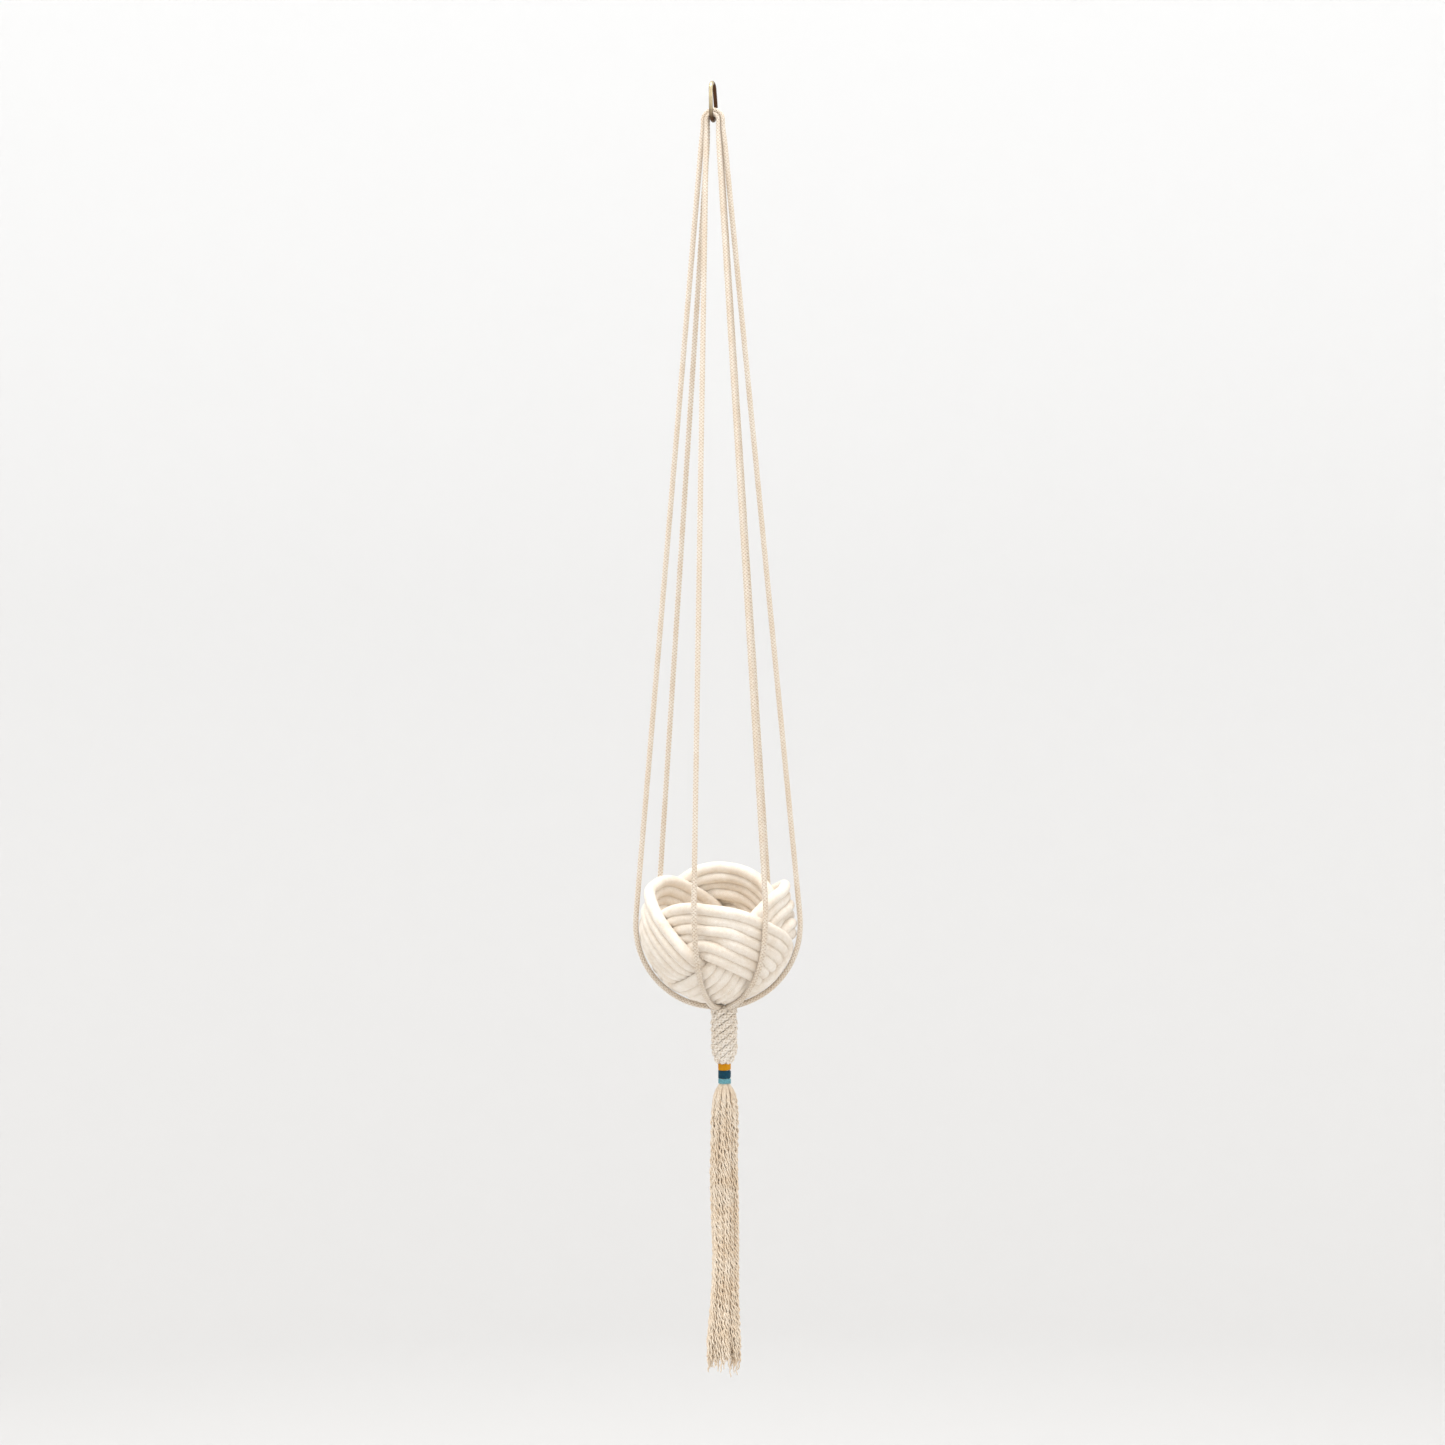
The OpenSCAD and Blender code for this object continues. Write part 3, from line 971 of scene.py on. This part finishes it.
# %% [markdown]
# ### Drifting colour
#
# Undyed cotton isn't one cream. It drifts over centimetres, and each strand has
# slightly warmer and cooler stretches. Two sizes of noise in the piece's own space
# choose between a light and a warm shade.

# %% Group: drifting colour
drift, given, out = new_group(
    "drifting colour",
    [
        ("Place", VECTOR, None),
        ("Light", COLOUR, (1.0, 1.0, 1.0, 1.0)),
        ("Warm", COLOUR, (0.8, 0.7, 0.5, 1.0)),
        ("Shade", NUMBER, 0.5),
        ("Size", NUMBER, 60.0),
    ],
    [("Colour", COLOUR), ("Mask", NUMBER)],
)
broad = add(
    drift,
    "ShaderNodeTexNoise",
    {"Vector": given["Place"], "Scale": given["Size"], "Detail": 2.0, "Roughness": 0.5},
)
small = add(
    drift,
    "ShaderNodeTexNoise",
    {
        "Vector": given["Place"],
        "Scale": calc(drift, "MULTIPLY", given["Size"], 7.0),
        "Detail": 3.0,
        "Roughness": 0.6,
    },
)
both = calc(drift, "ADD", broad.outputs["Fac"], calc(drift, "MULTIPLY", small.outputs["Fac"], 0.7))
# The Shade input pulls the colour towards the light one. The cotton finishes feed it the crests of
# their ridges, which makes it painted light.
both = calc(drift, "ADD", both, calc(drift, "MULTIPLY", given["Shade"], -0.35))
mask = add(
    drift,
    "ShaderNodeMapRange",
    {"Value": both, "From Min": 0.38, "From Max": 1.0},
)
mixed = between(drift, mask.outputs[0], given["Light"], given["Warm"])
drift.links.new(mixed, out["Colour"])
drift.links.new(mask.outputs[0], out["Mask"])
print("built", drift.name)


# %% [markdown]
# ## The cotton finishes
#
# All the cotton pieces share one recipe. The drifting colour gives the base, grain and ridges give
# the bump and a little roughness, and sheen gives the pale edge that fibres show when light grazes
# them. The crests of the ridges are also painted lighter, with the fibres' own random tone, and the
# grooves between them stay warmer: painted light on the crests and painted shade in the grooves.
# What differs is the colours, and the ridges: parallel yarns on the cords, a fine cover on the rope,
# and tight twist on the bands.
# The sides of a braid's strands dip into its crevices, where shade falls, so they are painted
# darker: painted shade. In the knot the cord is pulled flat and little of those edges shows, so it
# gets less of that painted shade.

# %% Make a cotton finish
def start_finish(name, roughness, sheen):
    material = bpy.data.materials.new(name)
    material.use_nodes = True
    tree = material.node_tree
    shader = tree.nodes["Principled BSDF"]
    shader.inputs["Roughness"].default_value = roughness
    shader.inputs["Specular IOR Level"].default_value = 0.3
    shader.inputs["Sheen Weight"].default_value = sheen
    shader.inputs["Sheen Roughness"].default_value = 0.45
    thread = add(tree, "ShaderNodeUVMap", uv_map="thread").outputs[0]
    place = add(tree, "ShaderNodeTexCoord").outputs["Object"]
    return material, tree, shader, thread, place


def group_node(tree, group, **inputs):
    return add(tree, "ShaderNodeGroup", inputs, node_tree=group).outputs


def cotton(name, light, warm, ridges, grain_size, bump, roughness=0.88, sheen=0.25, edges=0.0):
    """A cotton finish. ridges is a group with the values that it takes."""
    material, tree, shader, thread, place = start_finish(name, roughness, sheen)
    fibres = group_node(tree, grain, Thread=thread, Along=grain_size[0], Round=grain_size[1])
    group, values = ridges
    relief = group_node(tree, group, Thread=thread, **values)
    both = calc(tree, "ADD", relief["Height"], calc(tree, "MULTIPLY", fibres["Height"], 0.8))
    # Painted light and shade: the crests of the ridges take the fibres' random lighter tone, and the
    # grooves between them stay warmer.
    painted_crest_light = calc(tree, "MULTIPLY", fibres["Shade"], relief["Height"])
    tint = group_node(tree, drift, Place=place, Light=light, Warm=warm, Shade=painted_crest_light, Size=45.0)
    colour = tint["Colour"]
    # Painted shade: the sides of each strand, which dip into the crevices of the braid, are painted
    # a darker tan.
    if edges:
        round_it = add(tree, "ShaderNodeSeparateXYZ", {0: thread}).outputs["Y"]
        round_it = calc(tree, "MULTIPLY", round_it, math.tau)
        side = calc(tree, "ABSOLUTE", calc(tree, "COSINE", round_it))
        painted_edge_shade = calc(tree, "MULTIPLY", calc(tree, "POWER", side, 3.0), edges)
        colour = between(tree, painted_edge_shade, colour, linear(182, 152, 118))
    tree.links.new(colour, shader.inputs["Base Color"])
    dull = add(
        tree,
        "ShaderNodeMapRange",
        {"Value": fibres["Height"], "To Min": roughness - 0.12, "To Max": roughness + 0.08},
    )
    tree.links.new(dull.outputs[0], shader.inputs["Roughness"])
    raised = add(tree, "ShaderNodeBump", {"Height": both, "Strength": bump[0], "Distance": bump[1]})
    tree.links.new(raised.outputs[0], shader.inputs["Normal"])
    return material


cord_finish = cotton(
    "cream_braided_cotton",
    linear(248, 241, 230),
    linear(235, 220, 200),
    (plied, {"Pitch": 0.022, "Plies": 7.0}),
    (420.0, 1.6),
    (0.55, 0.00025),
    edges=0.65,
)
# The cord in the knot is the same cotton as in the legs, painted lighter: a lit copy of the cord's
# finish, with less painted shade on the strand sides.
lit_knot_finish = cotton(
    "lit_cream_cotton_in_the_knot",
    linear(253, 247, 238),
    linear(245, 233, 216),
    (plied, {"Pitch": 0.022, "Plies": 7.0}),
    (420.0, 1.6),
    (0.55, 0.00025),
    edges=0.35,
)
rope_finish = cotton(
    "white_covered_rope",
    linear(246, 239, 229),
    linear(227, 213, 195),
    (cover, {"Pitch": 0.0026, "Strands": 14.0}),
    (900.0, 9.0),
    (0.35, 0.0002),
    roughness=0.72,
)
tassel_finish = cotton(
    "natural_crimped_yarn",
    linear(244, 231, 213),
    linear(229, 207, 179),
    (plied, {"Pitch": 0.0034, "Plies": 2.0}),
    (500.0, 1.3),
    (0.6, 0.0003),
)


def dyed(name, light, deep):
    ridges = (plied, {"Pitch": 0.0019, "Plies": 2.0})
    return cotton(name, light, deep, ridges, (800.0, 1.2), (0.6, 0.0003), sheen=0.06)


mustard_finish = dyed("mustard_yarn", linear(226, 160, 8), linear(202, 134, 2))
teal_finish = dyed("teal_yarn", linear(14, 78, 100), linear(8, 52, 70))
sky_finish = dyed("sky_blue_yarn", linear(124, 181, 190), linear(96, 155, 166))
print("cotton finishes ready")

# %% [markdown]
# ## Aged brass
#
# The hook was once polished. Its upper loop is still bright, since hands and ceiling hooks rub it.
# The lower loop is painted brown, partly as tarnish where the cords hold damp against it and partly
# as painted shade. The tip at the back is painted dark too, as painted shade. Brass is a metal, so
# its colour sits in the reflection. The mask of tarnish and painted shade follows height, distance
# from the tip, and noise. It changes colour and roughness together, as real tarnish does. Drawing
# the wire left fine lines along it.

# %% Brass wire
brass = bpy.data.materials.new("aged_brass_wire")
brass.use_nodes = True
tree = brass.node_tree
shader = tree.nodes["Principled BSDF"]
shader.inputs["Metallic"].default_value = 1.0
thread = add(tree, "ShaderNodeUVMap", uv_map="thread").outputs[0]
place = add(tree, "ShaderNodeTexCoord").outputs["Object"]
height = add(tree, "ShaderNodeSeparateXYZ", {0: place}).outputs["Z"]
# Darker towards the bottom: the lower loop is painted brown, partly as tarnish and partly as painted
# shade.
low = add(
    tree,
    "ShaderNodeMapRange",
    {"Value": height, "From Min": -0.012, "From Max": -0.034, "To Min": 0.0, "To Max": 0.62},
)
blotch = add(
    tree,
    "ShaderNodeTexNoise",
    {"Vector": place, "Scale": 240.0, "Detail": 5.0, "Roughness": 0.65},
)
run = add(tree, "ShaderNodeSeparateXYZ", {0: thread}).outputs["X"]
# Painted shade: the tip at the back, the first 26 to 36 mm of the wire, is painted dark.
painted_tip_shade = add(
    tree,
    "ShaderNodeMapRange",
    {"Value": run, "From Min": 0.026, "From Max": 0.036, "To Min": 0.9, "To Max": 0.0},
)
low = calc(tree, "MAXIMUM", low.outputs[0], painted_tip_shade.outputs[0])
stain_and_shade = calc(tree, "ADD", low, calc(tree, "MULTIPLY", blotch.outputs["Fac"], 0.55))
tarnish_and_shade = add(tree, "ShaderNodeMapRange", {"Value": stain_and_shade, "From Min": 0.25, "From Max": 0.95})
# The dark brown stands for tarnish on the lower loop, and for painted shade there and on the tip.
metal = between(tree, tarnish_and_shade.outputs[0], linear(222, 206, 170), linear(88, 62, 46))
tree.links.new(metal, shader.inputs["Base Color"])
drawn = group_node(tree, grain, Thread=thread, Along=30.0, Round=14.0)
dull = calc(tree, "ADD", calc(tree, "MULTIPLY", tarnish_and_shade.outputs[0], 0.3), 0.16)
dull = calc(tree, "ADD", dull, calc(tree, "MULTIPLY", drawn["Height"], 0.14))
tree.links.new(dull, shader.inputs["Roughness"])
lines = add(
    tree,
    "ShaderNodeBump",
    {"Height": drawn["Height"], "Strength": 0.12, "Distance": 0.0001},
)
tree.links.new(lines.outputs[0], shader.inputs["Normal"])
print("built", brass.name)

# %% [markdown]
# ## Dress the pieces and hang some on their bodies
#
# Each piece takes its finish and stands for its plain part in the frame, which is hidden. The hook,
# the bowl and the bands ride on the body that carries them. Some pieces cross a joint: the cords
# where they leave the hook, the knot's first round, its foot above the bands, and every bundle of
# the tassel just below them. These don't bend there and ride on no body: they are only fixed in
# place.

# %% Finishes and bodies
CROWN_BEND = (-0.9785, -0.9885)
NECK_BEND = (-1.0345, -1.0388)
BUNDLE_BEND = (-1.0588, -1.072)


def dress(piece, finish, slot, *nodes):
    piece.data.materials.append(finish)
    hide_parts(*nodes)


def bends(piece, one, other, top, bottom):
    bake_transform(piece)


dress(hook_wire, brass, "brass_wire", "wire_hook")
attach(hook_wire, "hook")
dress(rope_bowl, rope_finish, "bowl_rope", "rope_bowl")
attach(rope_bowl, "bowl")
dress(crown_round, lit_knot_finish, "braided_cord", "crown_sinnet")
bends(crown_round, "sling", "tail", *CROWN_BEND)
dress(sinnet, lit_knot_finish, "braided_cord", "crown_sinnet")
bends(sinnet, "tail", "neck", *NECK_BEND)
for piece, finish, colour in (
    (mustard_band, mustard_finish, "mustard"),
    (teal_band, teal_finish, "teal"),
    (sky_band, sky_finish, "sky"),
):
    dress(piece, finish, colour + "_yarn", "wrap_" + colour)
    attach(piece, "neck")
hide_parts("tassel_core")
for number, piece in enumerate(bundles, 1):
    dress(piece, tassel_finish, "tassel_yarn", f"tassel_{number}")
    bends(piece, "neck", f"bundle_{number}", *BUNDLE_BEND)
print("dressed the hook, the bowl, the knot, the bands and", len(bundles), "bundles")

# %% The three cords
LEG_NODES = {
    "braided_cord_front": ("cord_front", "leg_front_left", "leg_front_right"),
    "braided_cord_back": ("cord_back", "leg_back_left", "leg_back_right"),
    "braided_cord_side": ("cord_side", "leg_left", "leg_right"),
}
for name, (points, length) in cord_lines.items():
    dress(cords[name], cord_finish, "braided_cord", *LEG_NODES[name])
    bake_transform(cords[name])
    print(name, [round(c, 4) for c in points[0]], "to", [round(c, 4) for c in points[-1]])

# %% [markdown]
# ## The studio
#
# A pale floor curves up into a round wall, so no corner shows from any side. Its colour is painted a
# little greyer near the floor, a painted shade so that the view darkens gently downwards. The light
# is broad and soft, and most of it comes from a panel overhead and from the open sky of the studio.
# A weak panel in front and to one side, and a weaker one across from it, keep some shape in the
# braids and in the bowl.

# %% Floor and wall
def studio_cove(floor_z, flat_r, bend_r, wall_top, steps=128):
    profile = [(0.02, floor_z), (flat_r * 0.5, floor_z), (flat_r, floor_z)]
    for i in range(1, 17):
        a = i / 16 * math.pi / 2
        profile.append((flat_r + bend_r * math.sin(a), floor_z + bend_r * (1 - math.cos(a))))
    profile.append((flat_r + bend_r, wall_top))
    spots, faces = [], []
    for r, z in profile:
        for k in range(steps):
            spots.append(upright(2 * math.pi * k / steps, r, z))
    for j in range(len(profile) - 1):
        for k in range(steps):
            a, b = j * steps + k, j * steps + (k + 1) % steps
            faces.append((a, b, b + steps, a + steps))
    faces.append(tuple(range(steps)))
    mesh = bpy.data.meshes.new("studio_cove")
    mesh.from_pydata(spots, [], faces)
    mesh.shade_smooth()
    cove = bpy.data.objects.new("studio_cove", mesh)
    bpy.context.scene.collection.objects.link(cove)
    return cove


cove = studio_cove(-1.95, 3.4, 1.6, 2.6)
pale = bpy.data.materials.new("pale_floor")
pale.use_nodes = True
tree = pale.node_tree
place = add(tree, "ShaderNodeTexCoord").outputs["Object"]
height = add(tree, "ShaderNodeSeparateXYZ", {0: place}).outputs["Z"]
rise = add(tree, "ShaderNodeMapRange", {"Value": height, "From Min": -1.9, "From Max": 1.2})
# Painted shade: the colour is greyer towards the floor, so the view darkens gently downwards.
shaded_paint = between(tree, rise.outputs[0], (0.705, 0.70, 0.695, 1), (0.89, 0.895, 0.90, 1))
shader = tree.nodes["Principled BSDF"]
tree.links.new(shaded_paint, shader.inputs["Base Color"])
shader.inputs["Roughness"].default_value = 0.9
shader.inputs["Specular IOR Level"].default_value = 0.1
cove.data.materials.append(pale)
cove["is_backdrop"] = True
print("cove", len(cove.data.polygons), "faces")


# %% Soft light
def panel(name, place, aim, width, height, power):
    data = bpy.data.lights.new(name, "AREA")
    data.shape = "RECTANGLE"
    data.size = width
    data.size_y = height
    data.energy = power
    lamp = bpy.data.objects.new(name, data)
    bpy.context.scene.collection.objects.link(lamp)
    lamp.location = place
    way = Vector(aim) - Vector(place)
    lamp.rotation_euler = way.to_track_quat("-Z", "Y").to_euler()
    return lamp


panel("front_panel", (1.9, -2.8, 0.6), (0, 0, -0.8), 1.6, 2.4, 12)
panel("cross_panel", (-2.6, -1.8, 0.0), (0, 0, -0.9), 1.4, 2.2, 5)
panel("top_panel", (-0.3, -0.8, 2.3), (0, 0, -0.7), 2.0, 2.0, 92)
world = bpy.data.worlds.new("studio")
bpy.context.scene.world = world
world.use_nodes = True
world.node_tree.nodes["Background"].inputs["Color"].default_value = (1.0, 0.99, 0.975, 1)
world.node_tree.nodes["Background"].inputs["Strength"].default_value = 1.15

# %% Measure and finish
now_lo, now_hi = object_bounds()
grown = [round((a - b) * 1000, 1) for a, b in zip([*now_hi, *cad_lo], [*cad_hi, *now_lo])]
print("beyond the frame box, mm", grown)
